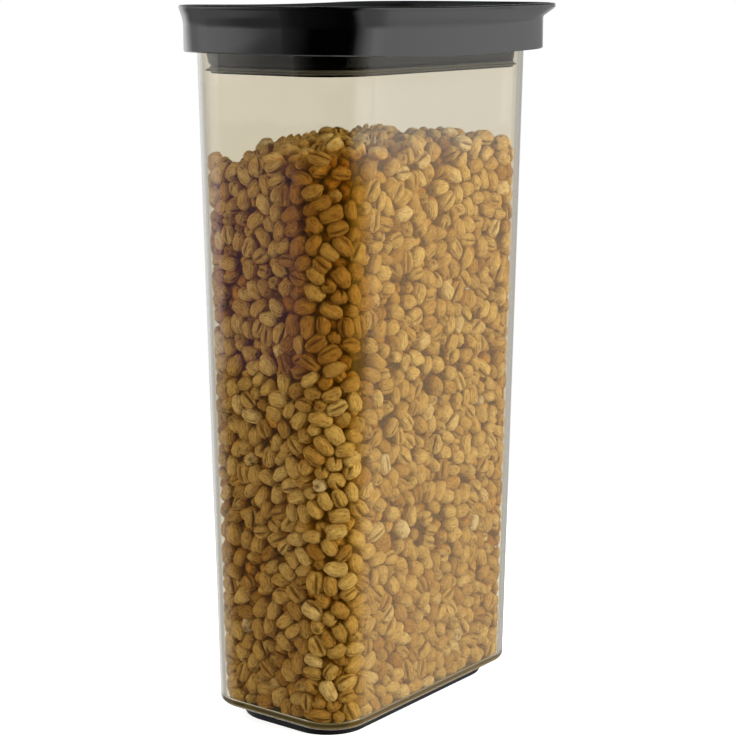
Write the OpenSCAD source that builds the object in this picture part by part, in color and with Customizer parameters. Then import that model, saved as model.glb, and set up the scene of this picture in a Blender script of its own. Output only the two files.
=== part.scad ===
// Tall pantry container for cereal, with a lift-off lid and a flip spout.
// Origin: middle of the foot, on the surface that it stands on. +Z is up.
// +Y points to the spout, and +X goes across the narrow side.
// Walls lean outwards evenly, so the axes of the rounded corners stay upright
// and every level of the container is one section swept round those axes.

/* [Container] */
// Width across the narrow side, at table height
body_w = 66; // [60:1:80]
// Length along the wide side, at table height
body_l = 119.8; // [112:1:140]
// Height of the container's own rim above the table
body_h = 259.5; // [200:0.5:300]
// Radius of the upright corners, at table height
corner_r = 16; // [12:0.5:20]
// Outward lean of the walls, in degrees
lean = 1.18; // [0.8:0.02:1.4]
// Thickness of the walls
wall_t = 2.1; // [2:0.1:2.8]
// Thickness of the floor
floor_t = 2.4; // [2:0.1:4]
// Radius of the edge between walls and floor, outside and inside
edge_r = 1.6; // [1:0.1:3]
// Rise of the underside from the foot out to that edge
under_rise = 0.7; // [0:0.1:1.5]

/* [Foot] */
// Height of the foot, which is the gap under the container
foot_h = 4.5; // [3:0.1:8]
// How far the foot stands in from the walls, at table height
foot_inset = 6.7; // [5:0.1:9]
// Corner radius of the foot, at table height
foot_r = 16; // [10:0.5:20]
// How much further out the foot is at its top
foot_draft = 1.95; // [0.5:0.05:3]

/* [Lid] */
// Height of the lid's flared rim above the container's rim
rim_rise = 10.5; // [8:0.5:12]
// Height of the lid's skirt and rim together
lid_h = 17; // [15:0.5:18]
// Gap between the container's wall and the outside of the skirt
skirt_out = 4.9; // [4.5:0.1:6]
// Extra length of the lid at the spout end
spout_out = 4.7; // [3:0.1:6]
// Thickness of the skirt
skirt_t = 2.1; // [1.8:0.1:2.4]
// Flare of the rim at the back
flare_back = 1.6; // [1:0.1:2.5]
// Flare of the rim at the spout, which makes the pouring lip
flare_spout = 4.8; // [3.5:0.1:5]
// How far the skirt's lower edge bows down along the wide sides
skirt_bow = 1.5; // [0:0.1:2]
// How far the rim dips along the wide sides
rim_bow = 0.6; // [0:0.1:1]
// Thickness of the recessed deck
deck_t = 2.4; // [2:0.1:2.8]
// Depth of the plug below the container's rim
plug_h = 13.8; // [12:0.2:16]

/* [Spout] */
// Width of the pouring opening
pour_w = 50; // [44:1:54]
// Length of the pouring opening
pour_l = 50; // [40:1:50]
// Thickness of the flap
flap_t = 1.8; // [1.6:0.1:2.2]
// Gap between the flap and the wall of the lid around it
flap_gap = 1; // [0.8:0.1:1.5]
// Radius of the hinge pin
pin_r = 1.25; // [1:0.05:1.4]

/* [Hidden] */
$fn = 96;
eps = 0.01;

// Corner axes, and the radius of the outer wall at any height
axis_x = body_w / 2 - corner_r;
axis_y = body_l / 2 - corner_r;
function wall_r(z) = corner_r + z * tan(lean);
function between(a, b, t) = a + (b - a) * t;
function ease(t) = let (u = min(1, max(0, t))) u * u * (3 - 2 * u);
function arc(x, y, r, from, to, n) =
    [for (k = [0:n]) let (a = between(from, to, k / n)) [x + r * cos(a), y + r * sin(a)]];

// Rim of the container
bead_out = 1.3;
bead_h = 3.4;

// Levels of the lid
deck_z = body_h;
deck_top = deck_z + deck_t;
rim_z = body_h + rim_rise;
skirt_z = rim_z - lid_h;
crease_back = 5.8;
crease_spout = 5;
skirt_tilt = 0.33;
lid_axis_y = axis_y + spout_out;
lid_r = wall_r(deck_z - 6) + skirt_out;
tray_r = lid_r - skirt_t;

// Pouring opening and the raised collar round it
pour_y = 6;
pour_r = 12;
collar_t = 1.8;
collar_top = deck_top + 2.4;

// Flap, level with the top of its hinge barrel
flap_top = rim_z - 2;
flap_under = flap_top - flap_t;
flap_r = tray_r - flap_gap;
flange_t = 1.5;
flange_z = deck_top + 1;
thumb_r = 18;
thumb_y = lid_axis_y + flap_r + thumb_r - 5;

// Hinge across the lid, behind the opening
barrel_r = 2.5;
hinge_y = -5;
hinge_z = flap_top - barrel_r;
barrel_half = 20;
ear_w = 5;
ear_gap = 0.3;
pin_play = 0.05;
pin_half = barrel_half + ear_gap + ear_w - 0.6;

// A flat section swept round a rounded rectangle: x in the section is the distance
// outwards from the corner axes at (+-half_x, +-half_y), and y is the height.
module sweep_section(half_x, half_y) {
    for (turn = [0, 180]) rotate([0, 0, turn]) {
        translate([half_x, half_y, 0]) rotate_extrude(angle = 90) children();
        translate([-half_x, half_y, 0]) rotate([0, 0, 90]) rotate_extrude(angle = 90) children();
        translate([half_x, half_y, 0]) rotate([90, 0, 0]) linear_extrude(2 * half_y) children();
        rotate([0, 0, 90]) translate([half_y, half_x, 0]) rotate([90, 0, 0])
            linear_extrude(2 * half_x) children();
    }
}

// A rounded rectangle from back to front, as a flat shape
module rounded_shape(half_x, back, front, r) {
    translate([-half_x, back - r]) square([2 * half_x, front - back + 2 * r]);
    translate([-half_x - r, back]) square([2 * half_x + 2 * r, front - back]);
    for (x = [-half_x, half_x], y = [back, front]) translate([x, y]) circle(r);
}

module rounded_plate(half_x, back, front, r, z, t) {
    translate([0, 0, z]) linear_extrude(t) rounded_shape(half_x, back, front, r);
}

// Wall, floor edge and rim bead of the container, from the corner axis outwards
module body_section() {
    top_r = wall_r(body_h);
    out_z = foot_h + under_rise + edge_r;
    in_z = foot_h + floor_t + edge_r;
    polygon(concat(
        [[0, foot_h], [wall_r(foot_h) - 4.4, foot_h]],
        arc(wall_r(out_z) - edge_r / cos(lean), out_z, edge_r, -78, -lean, 6),
        [[wall_r(body_h - bead_h), body_h - bead_h]],
        [[top_r + bead_out, body_h - bead_h + bead_out]],
        arc(top_r + bead_out - 0.8, body_h - 0.8, 0.8, 0, 90, 4),
        arc(top_r - wall_t + 0.8, body_h - 0.8, 0.8, 90, 180 - lean, 4),
        arc(wall_r(in_z) - wall_t - edge_r / cos(lean), in_z, edge_r, -lean, -90, 6),
        [[0, foot_h + floor_t]]
    ));
}

// Clear moulded container with a solid floor
module container_body() {
    color([0.74, 0.70, 0.62, 0.45]) {
        sweep_section(axis_x, axis_y) body_section();
        translate([-axis_x, -axis_y, foot_h]) cube([2 * axis_x, 2 * axis_y, floor_t]);
    }
}

// Soft foot under the floor, with sloping sides and a grip groove round its flat rest face
module base_foot() {
    foot_x = body_w / 2 - foot_inset - foot_r;
    foot_y = body_l / 2 - foot_inset - foot_r;
    groove = 1;
    groove_w = 3;
    groove_r = foot_r - 5;
    color([0.05, 0.05, 0.05]) difference() {
        union() {
            sweep_section(foot_x, foot_y)
                polygon([[0, 0], [foot_r, 0], [foot_r + foot_draft, foot_h], [0, foot_h]]);
            translate([-foot_x, -foot_y, 0]) cube([2 * foot_x, 2 * foot_y, foot_h]);
        }
        translate([0, 0, -eps]) linear_extrude(groove + eps) difference() {
            rounded_shape(foot_x, -foot_y, foot_y, groove_r);
            rounded_shape(foot_x, -foot_y, foot_y, groove_r - groove_w);
        }
    }
}

// Stations round the lid: x and y of the corner axis, and the outward direction
corner_n = 10;
wide_n = 14;
narrow_n = 4;
function side(ax, ay, bx, by, n, dir) =
    [for (k = [1:n - 1]) [between(ax, bx, k / n), between(ay, by, k / n), dir]];
function corner(x, y, from) = [for (k = [0:corner_n]) [x, y, from + 90 * k / corner_n]];
function stations() = concat(
    corner(axis_x, lid_axis_y, 0),
    side(axis_x, lid_axis_y, -axis_x, lid_axis_y, narrow_n, 90),
    corner(-axis_x, lid_axis_y, 90),
    side(-axis_x, lid_axis_y, -axis_x, -axis_y, wide_n, 180),
    corner(-axis_x, -axis_y, 180),
    side(-axis_x, -axis_y, axis_x, -axis_y, narrow_n, 270),
    corner(axis_x, -axis_y, 270),
    side(axis_x, -axis_y, axis_x, lid_axis_y, wide_n, 0)
);

// Section of the lid's wall at a place along the lid: a straight skirt, a soft crease,
// a flare that grows into the pouring lip, and a rolled edge. Points are x outwards and y up.
function skirt_section(y) = let (
    mid = y / (lid_axis_y + lid_r),
    bow = pow(cos(90 * min(1, abs(mid))), 2),
    w = ease((y - 8) / 62),
    low = skirt_z - skirt_tilt * mid - skirt_bow * bow,
    top = rim_z - rim_bow * bow,
    crease = [lid_r, top - between(crease_back, crease_spout, w)],
    tip = lid_r + between(flare_back, flare_spout, w),
    under = [tip - between(0.2, 0.85, w), top - between(1.7, 2.4, w)],
    edge = between(1.2, 1.5, w),
    way = (under - crease) / norm(under - crease),
    soft = between(2.2, 0.8, w),
    start = crease - [0, soft],
    end = crease + soft * way,
    inwards = 1.8 * [-way[1], way[0]]
) concat(
    [[lid_r - 0.4, low], [lid_r, low + 0.4]],
    [for (k = [0:4]) let (t = k / 4)
        (1 - t) * (1 - t) * start + 2 * t * (1 - t) * crease + t * t * end],
    [under, [tip, top - edge], [tip, top - 0.45], [tip - 0.4, top], [tip - 1.3, top],
        [tip - 1.75, top - 0.5]],
    [for (t = [0.75, 0.2]) crease + t * (under - crease) + inwards],
    [[tray_r, crease[1] - 1], [tray_r, low + 0.4], [tray_r + 0.4, low]]
);

// The lid's wall: the section carried round all stations and closed on itself
module skirt_wall() {
    s = stations();
    n = len(s);
    m = len(skirt_section(0));
    points = [for (p = s) let (
            d = [cos(p[2]), sin(p[2])],
            y = p[1] + lid_r * d[1]
        ) each [for (q = skirt_section(y)) [p[0] + q[0] * d[0], p[1] + q[0] * d[1], q[1]]]];
    faces = [for (i = [0:n - 1], j = [0:m - 1]) let (
            a = i * m + j,
            b = i * m + (j + 1) % m,
            c = ((i + 1) % n) * m + j,
            d = ((i + 1) % n) * m + (j + 1) % m
        ) each [[a, b, c], [b, d, c]]];
    polyhedron(points, faces);
}

module pour_shape(extra) {
    rounded_shape(pour_w / 2 - pour_r, pour_y + pour_r, pour_y + pour_l - pour_r, pour_r + extra);
}

// One ear of the hinge on the deck, with its bore along X
module hinge_ear() {
    translate([barrel_half + ear_gap, hinge_y, 0]) difference() {
        union() {
            translate([0, 0, hinge_z]) rotate([0, 90, 0]) cylinder(r = barrel_r, h = ear_w);
            translate([0, -barrel_r, deck_top - eps])
                cube([ear_w, 2 * barrel_r, hinge_z - deck_top + eps]);
        }
        translate([-eps, 0, hinge_z]) rotate([0, 90, 0]) cylinder(r = pin_r, h = ear_w - 0.6);
    }
}

// Moulded lid: skirt, flared rim, recessed deck, collar and hinge ears
module lid_shell() {
    pad_t = 1.4;
    color([0.13, 0.13, 0.13]) {
        skirt_wall();
        difference() {
            rounded_plate(axis_x, -axis_y, lid_axis_y, tray_r + 0.8, deck_z, deck_t);
            translate([0, 0, deck_z - 1]) linear_extrude(deck_t + 2) pour_shape(0);
        }
        rounded_plate(axis_x, -axis_y, hinge_y - 22, tray_r - 6, deck_top - eps, pad_t + eps);
        translate([0, 0, deck_top - eps]) linear_extrude(collar_top - deck_top + eps) difference() {
            pour_shape(collar_t);
            pour_shape(0);
        }
        hinge_ear();
        mirror([1, 0, 0]) hinge_ear();
    }
}

// Sleeve under the deck that plugs the container and holds the seal
module lid_liner() {
    top_r = wall_r(body_h);
    low_r = wall_r(body_h - plug_h);
    groove_z = body_h - plug_h + 0.6;
    color([0.15, 0.15, 0.15]) sweep_section(axis_x, axis_y) polygon(concat(
        [[top_r - 9.2, body_h], [top_r - 9.2, body_h - 2], [top_r - 5.6, body_h - 2]],
        [[low_r - 6.8, body_h - plug_h], [low_r - 4.6, body_h - plug_h]],
        [[low_r - 4.6, groove_z], [low_r - 5.9, groove_z], [low_r - 5.9, groove_z + 1.8]],
        arc(low_r - 5.7, groove_z + 3.8, 2, -70, 0, 6),
        [[top_r - 2.9, body_h - 5], [top_r - 2.9, body_h]]
    ));
}

// Silicone ring in the sleeve's groove, with a thin lip towards the wall
module lid_seal() {
    low_r = wall_r(body_h - plug_h);
    groove_z = body_h - plug_h + 0.6;
    reach = low_r - wall_t - 0.6;
    color([0.28, 0.28, 0.22]) sweep_section(axis_x, axis_y) polygon([
        [low_r - 5.9, groove_z],
        [low_r - 4.2, groove_z],
        [reach, groove_z + 0.3],
        [reach, groove_z + 0.6],
        [low_r - 4.2, groove_z + 0.9],
        [low_r - 4.2, groove_z + 1.5],
        [low_r - 4.6, groove_z + 1.8],
        [low_r - 5.9, groove_z + 1.8]
    ]);
}

// Outline of the flap, drawn in by a wall thickness, with the thumb notch in front
module flap_shape(inwards) {
    r = flap_r - inwards;
    back = hinge_y + barrel_r + 0.6 + inwards;
    difference() {
        rounded_shape(axis_x, back + r, lid_axis_y, r);
        translate([-60, hinge_y - 60 - lid_axis_y]) square([120, 60 + lid_axis_y]);
        translate([0, thumb_y]) circle(thumb_r + inwards);
    }
}

// Flip flap: a shallow cap that swings on the barrel at its back edge
module spout_flap() {
    color([0.12, 0.12, 0.12]) {
        translate([0, 0, flap_under]) linear_extrude(flap_t) flap_shape(0);
        translate([0, 0, flange_z]) linear_extrude(flap_under - flange_z + eps) difference() {
            flap_shape(0);
            flap_shape(flange_t);
        }
        difference() {
            union() {
                translate([-barrel_half, hinge_y, hinge_z]) rotate([0, 90, 0])
                    cylinder(r = barrel_r, h = 2 * barrel_half);
                translate([-barrel_half, hinge_y, flap_under])
                    cube([2 * barrel_half, barrel_r + 2, flap_t]);
            }
            translate([-barrel_half - 1, hinge_y, hinge_z]) rotate([0, 90, 0])
                cylinder(r = pin_r + pin_play, h = 2 * barrel_half + 2);
        }
    }
}

// Flat silicone ring under the flap, which closes on the collar
module flap_seal() {
    color([0.45, 0.45, 0.36])
        translate([0, 0, collar_top]) linear_extrude(flap_under - collar_top) difference() {
            pour_shape(collar_t + 0.8);
            pour_shape(-0.8);
        }
}

// Steel pin through the ears and the barrel
module hinge_pin() {
    color([0.7, 0.7, 0.72]) translate([-pin_half, hinge_y, hinge_z]) rotate([0, 90, 0])
        cylinder(r = pin_r, h = 2 * pin_half);
}

container_body();
base_foot();
lid_shell();
lid_liner();
lid_seal();
spout_flap();
flap_seal();
hinge_pin();
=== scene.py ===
"""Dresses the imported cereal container: smoky clear walls, black lid, puffed wheat inside, plain studio."""

import math

import bpy
import numpy as np
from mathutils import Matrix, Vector
from mathutils.kdtree import KDTree


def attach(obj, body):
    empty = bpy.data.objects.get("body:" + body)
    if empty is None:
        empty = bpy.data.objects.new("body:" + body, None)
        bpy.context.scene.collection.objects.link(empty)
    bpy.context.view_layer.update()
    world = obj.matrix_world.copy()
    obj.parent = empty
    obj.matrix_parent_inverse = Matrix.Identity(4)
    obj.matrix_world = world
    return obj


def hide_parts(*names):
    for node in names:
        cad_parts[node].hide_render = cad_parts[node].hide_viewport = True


MM = 0.001
SEED = 8810

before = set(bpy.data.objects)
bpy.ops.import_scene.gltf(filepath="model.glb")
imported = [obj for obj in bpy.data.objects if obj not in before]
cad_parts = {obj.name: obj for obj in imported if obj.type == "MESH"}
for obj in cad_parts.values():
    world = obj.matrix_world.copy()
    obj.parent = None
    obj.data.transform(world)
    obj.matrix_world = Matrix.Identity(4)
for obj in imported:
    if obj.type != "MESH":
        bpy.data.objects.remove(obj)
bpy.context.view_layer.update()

# Container, in millimetres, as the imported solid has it
AXIS_X, AXIS_Y = 17.0, 43.9
CORNER_R = 16.0
LEAN_DEG = 1.18
LEAN = math.tan(math.radians(LEAN_DEG))
WALL = 2.1
FOOT_H = 4.5
FLOOR_T = 2.4
EDGE_R = 1.6
UNDER_RISE = 0.7
UNDER_INSET = 4.4
BODY_H = 259.5
BEAD_OUT, BEAD_H, BEAD_EDGE = 1.3, 3.4, 0.8

# Rings of the smooth shell that stands in for it
CORNER_STEPS = 40
WALL_RINGS = 14
WALL_LOW = 16
TOP_CLEAR = 6

# Cereal, in millimetres: puffed wheat against the walls and on top, which is all of it that shows
KERNEL_LEN, KERNEL_W, KERNEL_H = 8.3, 5.9, 5.4
KERNEL_KINDS = 10
FILL_LOW = FOOT_H + FLOOR_T
FILL_HIGH = 236.0
FILL_HALF_X, FILL_HALF_Y = AXIS_X + 19, AXIS_Y + 19
HEAP_TOP = 219.0
LAYER = 11.0
PACK_SHARE = 0.71
WALL_CLEAR, FLOOR_CLEAR = 0.12, 0.1

# Settling of the kernels, each as a pair of balls
BALL_R, BALL_OUT = 2.65, 1.35
SETTLE_STEPS = 70
PAIRS_EVERY = 7
PAIR_REACH = 1.35
PUSH_SHARE = 0.32
SINK = 0.03
LAYER_SLACK = 1.5
LAYER_PULL = 0.6

# Camera that was fitted to the photograph's outline
CAM_YAW = 37.437
CAM_PITCH = 11.29
CAM_AT = (458.9, -598.0, 281.0)
CAM_FOCAL_PX = 1975.6
FRAME_PX = 736

# Studio, in metres and watts: each lamp's name, place, power and aim
LAMP_SIZE = 0.6
LAMPS = (
    ("key_right", (1.0, 0.25, 0.5), 22.0, (0, 0, 0.13)),
    ("fill_left", (-0.3, -1.0, 0.5), 9.0, (0, 0, 0.13)),
    ("back", (-0.7, 0.9, 0.4), 12.0, (0, 0, 0.22)),
    ("top", (0.0, 0.0, 1.1), 7.0, (0, 0, 0.13)),
)
FLOOR_HALF = 3.0
SHADOW_IN, SHADOW_OUT = 0.12, 0.35
BRIGHTEST = 2.5

rng = np.random.default_rng(SEED)


def wall_r(z):
    """Radius of the outer wall round its corner axes at height z."""
    return CORNER_R + z * LEAN


# Node helpers
def new_material(name):
    mat = bpy.data.materials.new(name)
    mat.use_nodes = True
    tree = mat.node_tree
    tree.nodes.clear()
    return mat, tree


def add(tree, kind, **values):
    """A node with its attributes or sockets set by name."""
    node = tree.nodes.new(kind)
    for key, value in values.items():
        if hasattr(node, key):
            setattr(node, key, value)
        else:
            node.inputs[key.replace("_", " ")].default_value = value
    return node


def link(tree, out, into):
    tree.links.new(out, into)


def feed(tree, value, socket):
    """Links a socket's output in, or sets a plain number or colour."""
    if isinstance(value, bpy.types.NodeSocket):
        link(tree, value, socket)
    else:
        socket.default_value = value


def output(tree, shader):
    end = tree.nodes.new("ShaderNodeOutputMaterial")
    link(tree, shader, end.inputs["Surface"])
    return end


def calc(tree, operation, *values, clamp=False):
    node = add(tree, "ShaderNodeMath", operation=operation, use_clamp=clamp)
    for value, socket in zip(values, node.inputs):
        feed(tree, value, socket)
    return node.outputs[0]


def vector_calc(tree, operation, *values):
    node = add(tree, "ShaderNodeVectorMath", operation=operation)
    for value, socket in zip(values, node.inputs):
        feed(tree, value, socket)
    return node.outputs["Value" if operation in ("DOT_PRODUCT", "LENGTH") else "Vector"]


def spread(tree, value, low, high, to_low=0.0, to_high=1.0):
    """A value's place between low and high, held to that range."""
    node = add(tree, "ShaderNodeMapRange", From_Min=low, From_Max=high, To_Min=to_low, To_Max=to_high)
    link(tree, value, node.inputs["Value"])
    return node.outputs["Result"]


def noise(tree, scale, detail, rough, coords):
    node = add(tree, "ShaderNodeTexNoise", Scale=scale, Detail=detail, Roughness=rough)
    link(tree, coords, node.inputs["Vector"])
    return node.outputs["Fac"]


def ramp(tree, fac, stops):
    node = tree.nodes.new("ShaderNodeValToRGB")
    band = node.color_ramp
    while len(band.elements) < len(stops):
        band.elements.new(0.5)
    for element, (place, colour) in zip(band.elements, stops):
        element.position = place
        element.color = (*colour, 1.0)
    link(tree, fac, node.inputs["Fac"])
    return node.outputs["Color"]


def blend(tree, kind, a, b, fac=1.0):
    node = add(tree, "ShaderNodeMix", data_type="RGBA", blend_type=kind)
    feed(tree, fac, node.inputs["Factor"])
    feed(tree, a, node.inputs["A"])
    feed(tree, b, node.inputs["B"])
    return node.outputs["Result"]


def bump(tree, height, strength, distance):
    node = add(tree, "ShaderNodeBump", Strength=strength, Distance=distance)
    link(tree, height, node.inputs["Height"])
    return node.outputs[0]


def mix_shaders(tree, fac, a, b):
    mix = tree.nodes.new("ShaderNodeMixShader")
    link(tree, fac, mix.inputs["Fac"])
    link(tree, a, mix.inputs[1])
    link(tree, b, mix.inputs[2])
    return mix.outputs[0]


def object_coords(tree):
    return tree.nodes.new("ShaderNodeTexCoord").outputs["Object"]


def split(tree, coords):
    """The X, Y and Z outputs of a vector."""
    parts = tree.nodes.new("ShaderNodeSeparateXYZ")
    link(tree, coords, parts.inputs[0])
    return parts.outputs


def light_path(tree):
    return tree.nodes.new("ShaderNodeLightPath").outputs


def happened(tree, depth):
    """1 where a ray's count of bounces of one kind isn't 0."""
    return calc(tree, "GREATER_THAN", depth, 0.5)


def grey(v):
    return (v, v, v)


# Materials
def clear_material():
    """Smoky clear plastic: refracts what is seen through it, and lets lamps through to the cereal."""
    mat, tree = new_material("smoky_plastic")
    glass = add(tree, "ShaderNodeBsdfPrincipled", Roughness=0.015, IOR=1.57)
    glass.inputs["Base Color"].default_value = (0.82, 0.785, 0.70, 1)
    glass.inputs["Transmission Weight"].default_value = 1.0
    # Painted reflection: the gloss's tint changes with height and side
    link(tree, painted_wall_reflection(tree), glass.inputs["Specular Tint"])
    # Painted glow in the rounded bottom edge, standing in for the cereal's light
    link(tree, painted_edge_glow(tree), glass.inputs["Emission Color"])
    glass.inputs["Emission Strength"].default_value = 1.0
    through = add(tree, "ShaderNodeBsdfTransparent")
    through.inputs["Color"].default_value = (0.87, 0.845, 0.79, 1)
    path = light_path(tree)
    either = calc(tree, "MAXIMUM", path["Is Shadow Ray"], path["Is Diffuse Ray"])
    end = output(tree, mix_shaders(tree, either, glass.outputs[0], through.outputs[0]))
    # The smoke in the plastic shows where light runs a long way inside it, at the edges and in the floor
    smoke = add(tree, "ShaderNodeVolumeAbsorption", Density=30.0)
    smoke.inputs["Color"].default_value = (0.5, 0.42, 0.12, 1)
    link(tree, smoke.outputs[0], end.inputs["Volume"])
    return mat


def painted_edge_glow(tree):
    """Painted light: a glow that stands in for the cereal's light gathered in the rounded bottom edge, in
    fine bands.
    """
    low = spread(tree, split(tree, object_coords(tree))["Z"], 4 * MM, 8 * MM)
    return ramp(tree, low, [
        (0.12, (0.02, 0.016, 0.007)),
        (0.2, (0.07, 0.053, 0.022)),
        (0.32, (0.11, 0.083, 0.036)),
        (0.42, (0.045, 0.035, 0.015)),
        (0.52, (0.10, 0.078, 0.036)),
        (0.64, (0.06, 0.045, 0.02)),
        (0.7, (0, 0, 0)),
    ])


def painted_wall_reflection(tree):
    """Painted reflection: tint of the walls' gloss, cool and faint on the narrow side, warm on the wide side,
    grey higher up.
    """
    parts = split(tree, object_coords(tree))
    height = spread(tree, parts["Z"], 0.0, 0.3)

    def level(stops):
        """Colours at heights in millimetres."""
        return ramp(tree, height, [(z / 300, colour) for z, colour in stops])

    narrow = level([
        (136, (0.02, 0.01, 0.02)),
        (142, (0.07, 0.03, 0.5)),
        (214, (0.07, 0.05, 0.4)),
        (226, grey(0.05)),
        (240, grey(0.05)),
        (247, grey(0.5)),
    ])
    wide = level([(208, (1.0, 0.5, 0.03)), (224, grey(0.5)), (240, grey(0.5)), (247, grey(0.0))])
    side = spread(tree, parts["X"], 20 * MM, 31 * MM)
    end = spread(tree, parts["Y"], 50 * MM, 62 * MM)
    return blend(tree, "MIX", narrow, wide, calc(tree, "MAXIMUM", side, end))


def plastic_material(name, colour, rough, grain=0.02, ior=1.5):
    """Moulded opaque plastic with a fine, uneven polish."""
    mat, tree = new_material(name)
    shader = add(tree, "ShaderNodeBsdfPrincipled", IOR=ior)
    shader.inputs["Base Color"].default_value = (*colour, 1)
    coords = object_coords(tree)
    cloudy = noise(tree, 60.0, 3.0, 0.6, coords)
    polish = spread(tree, cloudy, 0.0, 1.0, rough * 0.85, rough * 1.15)
    link(tree, polish, shader.inputs["Roughness"])
    fine = noise(tree, 2200.0, 2.0, 0.5, coords)
    link(tree, bump(tree, fine, grain, 0.0002), shader.inputs["Normal"])
    output(tree, shader.outputs[0])
    return mat


def steel_material():
    """Drawn steel with an uneven polish."""
    mat, tree = new_material("pin_steel")
    shader = add(tree, "ShaderNodeBsdfPrincipled", Metallic=1.0)
    shader.inputs["Base Color"].default_value = (0.6, 0.6, 0.6, 1)
    streak = noise(tree, 900.0, 2.0, 0.5, object_coords(tree))
    link(tree, spread(tree, streak, 0.0, 1.0, 0.25, 0.45), shader.inputs["Roughness"])
    output(tree, shader.outputs[0])
    return mat


def dress_node(node, mat):
    """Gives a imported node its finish, smooth over its round stretches and crisp at its edges."""
    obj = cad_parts[node]
    for slot in obj.material_slots:
        slot.material = mat
    obj.data.shade_smooth()
    join = obj.modifiers.new("joined_faces", "WELD")
    join.merge_threshold = 2e-6
    hard = obj.modifiers.new("hard_edges", "EDGE_SPLIT")
    hard.split_angle = math.radians(35)
    hard.use_edge_sharp = False
    obj.modifiers.new("flat_faces", "WEIGHTED_NORMAL")


# Container walls
def ring(r, z):
    """Rounded rectangle of corner radius r at height z, in millimetres."""
    points = []
    for quarter, (sx, sy) in enumerate([(1, 1), (-1, 1), (-1, -1), (1, -1)]):
        for k in range(CORNER_STEPS + 1):
            a = math.radians(90 * (quarter + k / CORNER_STEPS))
            points.append((sx * AXIS_X + r * math.cos(a), sy * AXIS_Y + r * math.sin(a), z))
    return points


def arc(x, y, r, start, end, steps):
    """Points (x, y) on an arc between two angles in degrees."""
    for k in range(steps + 1):
        a = math.radians(start + (end - start) * k / steps)
        yield x + r * math.cos(a), y + r * math.sin(a)


def body_profile():
    """Section of the container's wall, as radius and height, from the underside over the rim to the floor."""
    top_r = wall_r(BODY_H)
    out_z = FOOT_H + UNDER_RISE + EDGE_R
    in_z = FOOT_H + FLOOR_T + EDGE_R
    return (
        [(wall_r(FOOT_H) - UNDER_INSET, FOOT_H + 0.05)]
        + list(arc(wall_r(out_z) - EDGE_R, out_z, EDGE_R, -78, -LEAN_DEG, 8))
        + [(wall_r(z), z) for z in np.linspace(WALL_LOW, BODY_H - BEAD_H, WALL_RINGS)]
        + [(top_r + BEAD_OUT, BODY_H - BEAD_H + BEAD_OUT)]
        + list(arc(top_r + BEAD_OUT - BEAD_EDGE, BODY_H - BEAD_EDGE, BEAD_EDGE, 0, 90, 4))
        + list(arc(top_r - WALL + BEAD_EDGE, BODY_H - BEAD_EDGE, BEAD_EDGE, 90, 178.8, 4))
        + [(wall_r(z) - WALL, z) for z in np.linspace(BODY_H - TOP_CLEAR, WALL_LOW, WALL_RINGS)]
        + list(arc(wall_r(in_z) - WALL - EDGE_R, in_z, EDGE_R, -LEAN_DEG, -90, 8))
    )


def mesh_object(name, verts, faces):
    """A smooth-shaded object from points in millimetres."""
    mesh = bpy.data.meshes.new(name)
    mesh.from_pydata([tuple(c * MM for c in v) for v in verts], [], faces)
    mesh.validate()
    mesh.update()
    mesh.shade_smooth()
    obj = bpy.data.objects.new(name, mesh)
    bpy.context.scene.collection.objects.link(obj)
    return obj


def container_walls(mat):
    """The clear container as one smooth closed shell with flat floor faces."""
    verts, faces = [], []
    profile = body_profile()
    for r, z in profile:
        verts += ring(r, z)
    n = 4 * (CORNER_STEPS + 1)
    for i in range(len(profile) - 1):
        for j in range(n):
            a, b = i * n + j, i * n + (j + 1) % n
            faces.append((a, b, b + n, a + n))
    faces.append(tuple(range(n - 1, -1, -1)))
    last = (len(profile) - 1) * n
    faces.append(tuple(range(last, last + n)))
    obj = mesh_object("container_walls", verts, faces)
    obj.data.set_sharp_from_angle(angle=math.radians(40))
    keep = obj.modifiers.new("flat_faces", "WEIGHTED_NORMAL")
    keep.keep_sharp = True
    obj.data.materials.append(mat)
    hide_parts("container_body")
    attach(obj, "container")


# Cereal
def fill_top(x, y):
    """Height of the cereal's surface: a low heap that falls away at the back left and at the spout end."""
    heap = 2.5 * (1 - (x / 34) ** 2) * (1 - (y / 62) ** 2)
    left_drop = 9.5 / (1 + np.exp((0.8 * x + 0.6 * y + 38) / 9.0))
    end_drop = 6.0 / (1 + np.exp((50 - y) / 4.0))
    return HEAP_TOP + heap - left_drop - end_drop


def below_top(p):
    """Depth of points under the cereal's surface."""
    return fill_top(p[:, 0], p[:, 1]) - p[:, 2]


def corner_gap(p):
    """Distance from points to the inner wall's round corners, and the direction away from them."""
    core = np.clip(p[:, :2], [-AXIS_X, -AXIS_Y], [AXIS_X, AXIS_Y])
    off = p[:, :2] - core
    dist = np.linalg.norm(off, axis=1)
    inner = wall_r(p[:, 2]) - WALL
    way = np.where(dist[:, None] > 1e-6, -off / np.maximum(dist, 1e-6)[:, None], 0.0)
    return inner - dist, way


def inner_gap(p):
    """Distance from points to the nearest inner wall face, and the direction away from it."""
    a = AXIS_X + wall_r(p[:, 2]) - WALL - np.abs(p[:, 0])
    b = AXIS_Y + wall_r(p[:, 2]) - WALL - np.abs(p[:, 1])
    corner, way = corner_gap(p)
    in_corner = (np.abs(p[:, 0]) > AXIS_X) & (np.abs(p[:, 1]) > AXIS_Y)
    gap = np.where(in_corner, corner, np.minimum(a, b))
    side = np.zeros_like(p[:, :2])
    x_near = a < b
    side[x_near, 0] = -np.sign(p[x_near, 0])
    side[~x_near, 1] = -np.sign(p[~x_near, 1])
    way = np.where(in_corner[:, None], way, side)
    return gap, way


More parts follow.
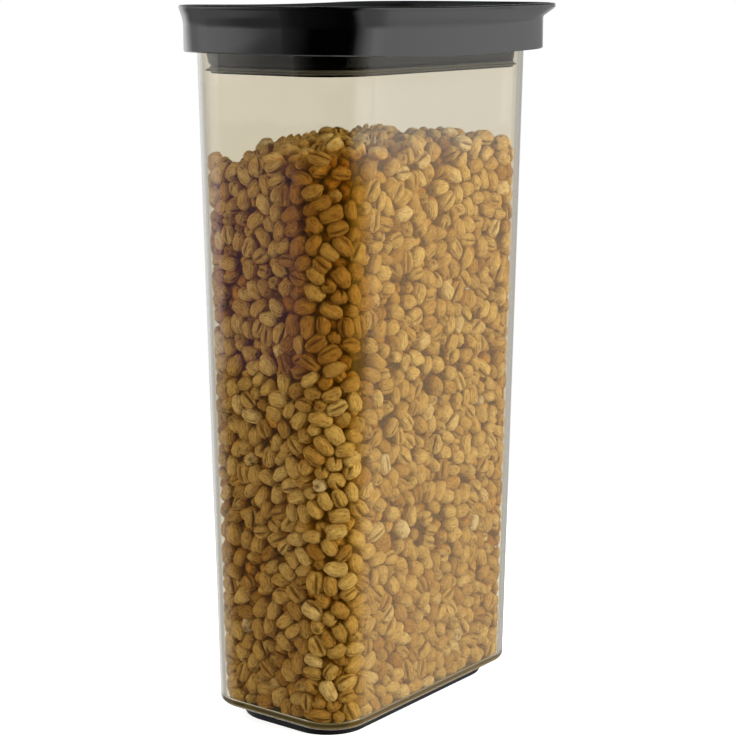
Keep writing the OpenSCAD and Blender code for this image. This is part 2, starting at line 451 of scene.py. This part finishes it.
def pick_kernels():
    """Random kernel centres in the layer by the walls and under the surface, thinned to the wanted share."""
    volume = 2 * FILL_HALF_X * 2 * FILL_HALF_Y * (FILL_HIGH - FILL_LOW)
    kernel = math.pi / 6 * KERNEL_LEN * KERNEL_W * KERNEL_H
    tries = int(volume / kernel * PACK_SHARE)
    low = np.array([-FILL_HALF_X, -FILL_HALF_Y, FILL_LOW])
    p = low + rng.random((tries, 3)) * np.array([2 * FILL_HALF_X, 2 * FILL_HALF_Y, FILL_HIGH - FILL_LOW])
    gap, _ = inner_gap(p)
    surface = fill_top(p[:, 0], p[:, 1])
    inside = (gap > 0) & (p[:, 2] < surface)
    near = (gap < LAYER) | (p[:, 2] > surface - LAYER)
    return p[inside & near]


def near_pairs(p, reach):
    """Pairs of points closer than reach."""
    tree = KDTree(len(p))
    for i, q in enumerate(p):
        tree.insert(q, i)
    tree.balance()
    first, second = [], []
    for i, q in enumerate(p):
        for _, j, _ in tree.find_range(q, reach):
            if j > i:
                first.append(i)
                second.append(j)
    return np.array(first), np.array(second)


def settle(centres, axes, size):
    """Pushes the kernels apart until they lie packed against the walls; each is a pair of balls."""
    n = len(centres)
    out = BALL_OUT * size[:, None]
    ball = BALL_R * np.concatenate([size, size])
    p = np.concatenate([centres + axes * out, centres - axes * out])
    for step in range(SETTLE_STEPS):
        if step % PAIRS_EVERY == 0:
            i, j = near_pairs(p, 2 * BALL_R * PAIR_REACH)
            keep = np.abs(i - j) != n
            i, j = i[keep], j[keep]
        d = p[i] - p[j]
        dist = np.maximum(np.linalg.norm(d, axis=1), 1e-4)
        push = np.maximum(ball[i] + ball[j] - dist, 0)
        move = d / dist[:, None] * (PUSH_SHARE * push)[:, None]
        shift = np.zeros_like(p)
        for axis in range(3):
            shift[:, axis] = np.bincount(i, move[:, axis], len(p)) - np.bincount(j, move[:, axis], len(p))
        p += shift
        p[:, 2] -= SINK
        gap, way = inner_gap(p)
        p[:, :2] += way * np.maximum(ball - gap, 0)[:, None]
        # What drifts into the hidden middle comes back to the layer by the wall
        surface = fill_top(p[:, 0], p[:, 1])
        deep = (gap > LAYER + LAYER_SLACK) & (p[:, 2] < surface - LAYER - LAYER_SLACK)
        p[deep, :2] -= way[deep] * np.minimum(gap[deep] - LAYER - LAYER_SLACK, LAYER_PULL)[:, None]
        p[:, 2] = np.maximum(p[:, 2], FILL_LOW + ball)
        mid = (p[:n] + p[n:]) / 2
        half = (p[:n] - p[n:]) / 2
        half *= out / np.maximum(np.linalg.norm(half, axis=1), 1e-6)[:, None]
        p = np.concatenate([mid + half, mid - half])
    mid = (p[:n] + p[n:]) / 2
    half = (p[:n] - p[n:]) / 2
    return mid, half / np.linalg.norm(half, axis=1)[:, None]


def kernel_shape(rings, angles, kind):
    """One kernel: points, faces, and how far each point lies in the crease or the end's hollow."""
    draw = np.random.default_rng(SEED + kind)
    bend = draw.uniform(-0.05, 0.09)
    deep = draw.uniform(0.75, 1.25)
    wide = draw.uniform(0.17, 0.25)
    square = draw.uniform(0.78, 0.95)
    blunt = draw.uniform(0.72, 0.98)
    ridges = draw.uniform(0, 2 * math.pi, 3)
    lumps = draw.normal(0, 1, (5, 3))
    around = len(angles)
    verts, dark = [], []
    for i in range(rings + 1):
        t = math.pi * i / rings
        along = -math.cos(t)
        girth = math.sin(t) ** (blunt if along < 0 else square)
        count = 1 if i in (0, rings) else around
        for a in angles[:count]:
            # The crease runs along the top and fades before both ends
            off = abs((a - math.pi / 2 + math.pi) % (2 * math.pi) - math.pi)
            fade = max(0.0, 1 - abs(along) ** 4)
            if count == 1:
                fade = 0.0
            crease = math.exp(-((off / wide) ** 2)) * fade
            lips = math.exp(-(((off - 2.6 * wide) / (1.5 * wide)) ** 2)) * fade
            folds = sum(math.cos((3 + q) * a + ridge) for q, ridge in enumerate(ridges))
            r = girth * (1 - 0.34 * deep * crease + 0.05 * lips + 0.024 * folds)
            hollow = math.exp(-(1 - along) / 0.03) if along > 0.8 else 0.0
            v = np.array([
                KERNEL_LEN / 2 * along - 0.6 * hollow,
                KERNEL_W / 2 * r * math.cos(a),
                KERNEL_H / 2 * r * math.sin(a) + bend * KERNEL_LEN * (along ** 2 - 0.4),
            ])
            wave = sum(math.sin(0.85 * float(v @ lump) + 1.7 * q) for q, lump in enumerate(lumps))
            verts.append(v * (1 + 0.036 * wave))
            dark.append(min(1.0, crease ** 1.5 + 0.9 * hollow))
    faces = [(0, 1 + (k + 1) % around, 1 + k) for k in range(around)]
    for i in range(rings - 2):
        a, b = 1 + i * around, 1 + (i + 1) * around
        faces += [(a + k, a + (k + 1) % around, b + (k + 1) % around, b + k) for k in range(around)]
    a, end = 1 + (rings - 2) * around, 1 + (rings - 1) * around
    faces += [(a + k, a + (k + 1) % around, end) for k in range(around)]
    return np.array(verts), faces, np.array(dark)


def crease_angles(steps):
    """Angles round a kernel, from the crease at the top outwards, in degrees each way."""
    ways = [90 + d for d in steps] + [90 - d for d in reversed(steps) if 0 < d < 180]
    return [math.radians(d) for d in ways]


def kernel_frames(axes):
    """Turning matrices that lay a kernel's length along each axis, rolled at random."""
    helper = rng.normal(0, 1, axes.shape)
    side = np.cross(axes, helper)
    side /= np.linalg.norm(side, axis=1)[:, None]
    up = np.cross(axes, side)
    return np.stack([axes, side, up], axis=2)


def cereal_piece(name, centres, turns, sizes, tones_and_top_light, shapes, mat):
    """Joins kernels into one mesh with the attributes that their finish reads."""
    points, corners, loops, tone_and_top_light, crease, grain = [], [], [], [], [], []
    start = 0
    kinds = rng.integers(0, len(shapes), len(centres))
    for c, turn, size, t, kind in zip(centres, turns, sizes, tones_and_top_light, kinds):
        verts, faces, dark = shapes[kind]
        points.append((verts * size) @ turn.T + c)
        for face in faces:
            corners += [start + k for k in face]
            loops.append(len(face))
        tone_and_top_light.append(np.full(len(verts), t))
        crease.append(dark)
        grain.append(verts + rng.uniform(-50, 50, 3))
        start += len(verts)
    points = np.concatenate(points)
    # Kernels that touch the wall or the floor are flattened against it
    gap, way = inner_gap(points)
    points[:, :2] += way * np.maximum(WALL_CLEAR - gap, 0)[:, None]
    points[:, 2] = np.maximum(points[:, 2], FILL_LOW + FLOOR_CLEAR)
    # Depth from the inner wall and from the top, read by the finish for painted shade and a painted glow
    depth = [np.clip(np.minimum(gap, below_top(points) + 2.0) / 8, 0, 1)]
    points *= MM
    mesh = bpy.data.meshes.new(name)
    mesh.vertices.add(len(points))
    mesh.vertices.foreach_set("co", points.ravel())
    mesh.loops.add(len(corners))
    mesh.loops.foreach_set("vertex_index", corners)
    mesh.polygons.add(len(loops))
    mesh.polygons.foreach_set("loop_start", np.concatenate([[0], np.cumsum(loops)[:-1]]))
    mesh.update(calc_edges=True)
    for key, data in (("tone_and_top_light", tone_and_top_light), ("crease", crease), ("depth", depth)):
        layer = mesh.attributes.new(key, "FLOAT", "POINT")
        layer.data.foreach_set("value", np.concatenate(data))
    layer = mesh.attributes.new("grain", "FLOAT_VECTOR", "POINT")
    layer.data.foreach_set("vector", np.concatenate(grain).ravel())
    mesh.shade_smooth()
    mesh.materials.append(mat)
    obj = bpy.data.objects.new(name, mesh)
    bpy.context.scene.collection.objects.link(obj)
    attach(obj, "container")


def cereal_material():
    """Puffed wheat: dull golden husk with fine wrinkles, browner in the crease; painted shade makes it darker
    and browner deep in the heap, where a painted glow lifts it a little.
    """
    mat, tree = new_material("puffed_wheat")
    shader = add(tree, "ShaderNodeBsdfPrincipled", Roughness=0.6, IOR=1.2)

    def attribute(name):
        return add(tree, "ShaderNodeAttribute", attribute_name=name).outputs

    depth = attribute("depth")["Fac"]
    grain = attribute("grain")["Vector"]
    husk = ramp(tree, attribute("tone_and_top_light")["Fac"], [
        (0.0, (0.42, 0.20, 0.03)),
        (0.45, (0.64, 0.40, 0.105)),
        (0.85, (0.76, 0.53, 0.18)),
        (1.0, (0.82, 0.65, 0.34)),
    ])
    patches = noise(tree, 0.35, 3.0, 0.6, grain)
    patch = ramp(tree, patches, [(0.35, (0.72, 0.62, 0.5)), (0.6, (1.0, 1.0, 1.0))])
    stretch = add(tree, "ShaderNodeMapping")
    stretch.inputs["Scale"].default_value = (0.35, 1.6, 1.6)
    link(tree, grain, stretch.inputs["Vector"])
    wrinkles = noise(tree, 1.1, 4.0, 0.6, stretch.outputs["Vector"])
    streaks = ramp(tree, wrinkles, [(0.34, (0.55, 0.42, 0.26)), (0.5, (0.95, 0.95, 0.95)), (0.64, (1, 1, 1))])
    # Painted shade: darker and browner the deeper a kernel lies behind the wall or under the top
    painted_depth_shade = ramp(tree, depth, [
        (0.0, (1, 1, 1)),
        (0.2, (1, 1, 1)),
        (0.36, (0.97, 0.85, 0.62)),
        (0.6, (0.85, 0.6, 0.25)),
        (1.0, (0.6, 0.4, 0.15)),
    ])
    # Painted glow deep in the heap, standing in for light scattered between the kernels
    glow = ramp(tree, depth, [(0.15, (0, 0, 0)), (0.4, (0.028, 0.014, 0.001)), (0.7, (0.022, 0.012, 0.001))])
    link(tree, glow, shader.inputs["Emission Color"])
    shader.inputs["Emission Strength"].default_value = 1.0
    colour = blend(tree, "MULTIPLY", husk, patch, 0.7)
    colour = blend(tree, "MULTIPLY", colour, streaks, 0.9)
    colour = blend(tree, "MULTIPLY", colour, painted_depth_shade)
    colour = blend(tree, "MIX", colour, (0.12, 0.042, 0.006, 1), attribute("crease")["Fac"])
    link(tree, colour, shader.inputs["Base Color"])
    link(tree, bump(tree, wrinkles, 1.0, 0.0016), shader.inputs["Normal"])
    output(tree, shader.outputs[0])
    return mat


def kernel_tones_and_top_light(centres):
    """Each kernel's place on the husk's scale, from brown at 0 to pale at 1, with painted light at the heap's
    surface.
    """
    tones_and_top_light = np.clip(rng.normal(0.5, 0.2, len(centres)), 0, 0.9)
    tones_and_top_light[rng.random(len(centres)) < 0.012] = 1.0
    # Browner high up in the near corner, and paler at the surface as painted light on the heap's top
    corner = np.linalg.norm(centres[:, :2] - (AXIS_X + 8, -AXIS_Y - 13), axis=1)
    browner = np.clip((19 - corner) / 7, 0, 1) * np.clip((centres[:, 2] - 125) / 30, 0, 1)
    tones_and_top_light = np.clip(tones_and_top_light - 0.6 * browner, 0, 1)
    return np.clip(tones_and_top_light + 0.2 * np.clip((8 - below_top(centres)) / 4, 0, 1), 0, 1)


def cereal():
    """Packs the kernels and makes them: fine where they show, rougher behind."""
    centres = pick_kernels()
    axes = rng.normal(0, 1, centres.shape)
    axes /= np.linalg.norm(axes, axis=1)[:, None]
    sizes = rng.uniform(0.86, 1.12, len(centres))
    centres, axes = settle(centres, axes, sizes)
    turns = kernel_frames(axes)
    tones_and_top_light = kernel_tones_and_top_light(centres)
    gap, _ = inner_gap(centres)
    shown = (gap < 6.5) | (below_top(centres) < 7.0)
    fine_ways = crease_angles([0, 8, 17, 30, 48, 72, 98, 124, 152, 180])
    rough_ways = crease_angles([0, 25, 70, 125, 180])
    fine = [kernel_shape(12, fine_ways, k) for k in range(KERNEL_KINDS)]
    rough = [kernel_shape(6, rough_ways, k) for k in range(KERNEL_KINDS)]
    mat = cereal_material()
    order = np.flatnonzero(shown)
    for part, group in enumerate(np.array_split(order[np.argsort(centres[order, 2])], 4)):
        name = f"cereal_outer_{part + 1}"
        cereal_piece(name, centres[group], turns[group], sizes[group], tones_and_top_light[group], fine, mat)
    group = np.flatnonzero(~shown)
    cereal_piece("cereal_inner", centres[group], turns[group], sizes[group], tones_and_top_light[group], rough, mat)


# Studio
def studio():
    """White to the lens and straight through the plastic, panels in the gloss, and a dim even light."""
    world = bpy.data.worlds.new("studio")
    bpy.context.scene.world = world
    world.use_nodes = True
    tree = world.node_tree
    tree.nodes.clear()
    path = light_path(tree)
    seen = calc(tree, "MAXIMUM", path["Is Camera Ray"], path["Is Transmission Ray"])
    mirrored = happened(tree, path["Glossy Depth"])
    straight = calc(tree, "SUBTRACT", seen, mirrored, clamp=True)
    white = add(tree, "ShaderNodeBackground")
    white.inputs["Color"].default_value = (1, 1, 1, 1)
    dim = add(tree, "ShaderNodeBackground", Strength=0.35)
    dim.inputs["Color"].default_value = (1, 1, 1, 1)
    shine = mix_shaders(tree, mirrored, dim.outputs[0], mirror_background(tree))
    end = tree.nodes.new("ShaderNodeOutputWorld")
    link(tree, mix_shaders(tree, straight, shine, white.outputs[0]), end.inputs["Surface"])


def mirror_background(tree):
    """What gloss shows: panels to the left and right, a dark room in front, and a dim ceiling."""
    coords = tree.nodes.new("ShaderNodeTexCoord").outputs["Generated"]
    z = split(tree, coords)["Z"]
    # Angle round the object from the photograph's viewpoint, 0 towards it and positive to its right
    yaw = math.radians(CAM_YAW)
    ahead = vector_calc(tree, "DOT_PRODUCT", coords, (math.sin(yaw), -math.cos(yaw), 0))
    right = vector_calc(tree, "DOT_PRODUCT", coords, (math.cos(yaw), math.sin(yaw), 0))
    place = spread(tree, calc(tree, "ARCTAN2", right, ahead), -math.pi, math.pi)
    height = spread(tree, z, -1, 1)
    # The left panel's edge leans, so that it meets sloping faces as it meets upright ones
    lean = spread(tree, z, -0.03, -1.0, 0.0, 0.0404)
    leftward = calc(tree, "LESS_THAN", place, 0.36)
    place = calc(tree, "MULTIPLY_ADD", lean, leftward, place)

    def around(stops):
        """Brightness at angles in degrees round the object."""
        return ramp(tree, place, [(0.5 + deg / 360, grey(v / BRIGHTEST)) for deg, v in stops])

    def level(stops):
        """Share at angles in degrees above the horizon."""
        return ramp(tree, height, [(0.5 + math.sin(math.radians(deg)) / 2, grey(v)) for deg, v in stops])

    upright = around([
        (-180, 0.75), (-165, 0.8), (-150, 1.64), (-134, 1.65), (-118, 1.04), (-106, 1.35), (-96, 1.9),
        (-83.5, 2.27), (-79.4, 2.32), (-78.6, 1.7), (-77.9, 1.15), (-77.3, 0.6), (-75, 0.36), (-63, 0.26),
        (-43, 0.12), (-32, 0.04), (-25, 0.0), (34, 0.0), (41, 0.06), (47, 0.6), (55, 1.2), (61, 1.7),
        (77, 2.5), (89, 2.24), (106, 1.6), (110, 1.7), (130, 1.05), (146, 0.6), (180, 0.75)])
    sloping = around([
        (-180, 0.75), (-165, 0.8), (-140, 1.6), (-122, 0.5), (-96, 0.98), (-79.8, 1.1), (-78.8, 0.95),
        (-78.0, 0.62), (-77.4, 0.44), (-74, 0.3), (-57, 0.17), (-37, 0.08), (-12, 0.05), (30, 0.01),
        (42, 0.03), (46, 0.21), (57, 1.1), (93, 1.05), (115, 1.3), (130, 1.05), (142, 0.8), (153, 0.6),
        (180, 0.75)])
    whole = blend(tree, "MIX", sloping, upright, level([(-12, 0), (-2.6, 1)]))
    # Light that ran along inside a clear wall comes out dimmer at the wall's edges
    inside = happened(tree, light_path(tree)["Transmission Depth"])
    edge = around([(-180, 0.55), (-112, 0.55), (-98, 2.5), (98, 2.5), (112, 0.5), (180, 0.5)])
    whole = blend(tree, "DARKEN", whole, edge, inside)
    roomy = blend(tree, "MULTIPLY", whole, level([(8, 1), (20, 0.3), (50, 0.2)]))
    back = add(tree, "ShaderNodeBackground", Strength=BRIGHTEST)
    link(tree, roomy, back.inputs["Color"])
    return back.outputs[0]


def lamp(name, at, power, aim):
    """A square panel that lights the object and isn't seen itself."""
    data = bpy.data.lights.new(name, "AREA")
    data.shape = "RECTANGLE"
    data.size, data.size_y = LAMP_SIZE, LAMP_SIZE
    data.energy = power
    obj = bpy.data.objects.new(name, data)
    obj.location = at
    obj.rotation_euler = (Vector(aim) - Vector(at)).to_track_quat("-Z", "Y").to_euler()
    obj.visible_camera = False
    obj.visible_glossy = False
    obj.visible_transmission = False
    bpy.context.scene.collection.objects.link(obj)


def footprint(tree, place):
    """Share from 0 close under the container to 1 out on the open floor."""
    size = vector_calc(tree, "ABSOLUTE", place)
    off = vector_calc(tree, "SUBTRACT", size, (AXIS_X * MM, AXIS_Y * MM, 0))
    out = vector_calc(tree, "MAXIMUM", off, (0, 0, 0))
    reach = vector_calc(tree, "LENGTH", out)
    return spread(tree, reach, (CORNER_R + 1.0) * MM, (CORNER_R + 4.0) * MM)


def floor():
    """Plain pale floor: white to the lens, with the object's soft shadow close round it."""
    half = FLOOR_HALF / MM
    corners = [(-half, -half, 0), (half, -half, 0), (half, half, 0), (-half, half, 0)]
    obj = mesh_object("floor", corners, [(0, 1, 2, 3)])
    mat, tree = new_material("floor")
    soft = add(tree, "ShaderNodeBsdfDiffuse")
    soft.inputs["Color"].default_value = (0.6, 0.6, 0.6, 1)
    glow = add(tree, "ShaderNodeEmission", Strength=0.7)
    near = tree.nodes.new("ShaderNodeAddShader")
    link(tree, soft.outputs[0], near.inputs[0])
    link(tree, glow.outputs[0], near.inputs[1])
    white = add(tree, "ShaderNodeEmission", Strength=1.0)
    place = object_coords(tree)
    fade = spread(tree, vector_calc(tree, "LENGTH", place), SHADOW_IN, SHADOW_OUT)
    shown = mix_shaders(tree, fade, near.outputs[0], white.outputs[0])
    path = light_path(tree)
    # Through the container the floor close under it shows painted shade, a dim warm glow where hardly any
    # light comes in, and it lets gloss pass elsewhere, which shows the room round the object
    under = add(tree, "ShaderNodeEmission", Strength=0.12)
    under.inputs["Color"].default_value = (1.0, 0.82, 0.45, 1)
    clear = tree.nodes.new("ShaderNodeBsdfTransparent")
    passing = mix_shaders(tree, happened(tree, path["Glossy Depth"]), shown, clear.outputs[0])
    through = mix_shaders(tree, footprint(tree, place), under.outputs[0], passing)
    lit = mix_shaders(tree, path["Is Camera Ray"], soft.outputs[0], shown)
    output(tree, mix_shaders(tree, path["Is Transmission Ray"], lit, through))
    obj.data.materials.append(mat)
    obj.visible_glossy = False


def camera():
    data = bpy.data.cameras.new("photo_camera")
    data.sensor_width = 36.0
    data.lens = CAM_FOCAL_PX / FRAME_PX * data.sensor_width
    data.clip_start, data.clip_end = 0.05, 20.0
    obj = bpy.data.objects.new("photo_camera", data)
    obj.location = Vector(CAM_AT) * MM
    obj.rotation_euler = (math.radians(90 - CAM_PITCH), 0, math.radians(CAM_YAW))
    bpy.context.scene.collection.objects.link(obj)
    bpy.context.scene.camera = obj


def dress():
    """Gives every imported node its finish."""
    black = plastic_material("lid_plastic", grey(0.0003), 0.06, grain=0.004)
    dark = plastic_material("liner_plastic", grey(0.0008), 0.08, grain=0.004, ior=1.32)
    silicone = plastic_material("silicone", (0.06, 0.06, 0.045), 0.45)
    rubber = plastic_material("foot_rubber", grey(0.002), 0.6, grain=0.1, ior=1.25)
    for name in ("lid_shell", "spout_flap"):
        dress_node(name, black)
    dress_node("lid_liner", dark)
    for name in ("lid_seal", "flap_seal"):
        dress_node(name, silicone)
    dress_node("base_foot", rubber)
    dress_node("hinge_pin", steel_material())


bpy.context.scene.view_settings.view_transform = "Standard"
studio()
floor()
camera()
for name, at, power, aim in LAMPS:
    lamp(name, at, power, aim)
container_walls(clear_material())
cereal()
dress()
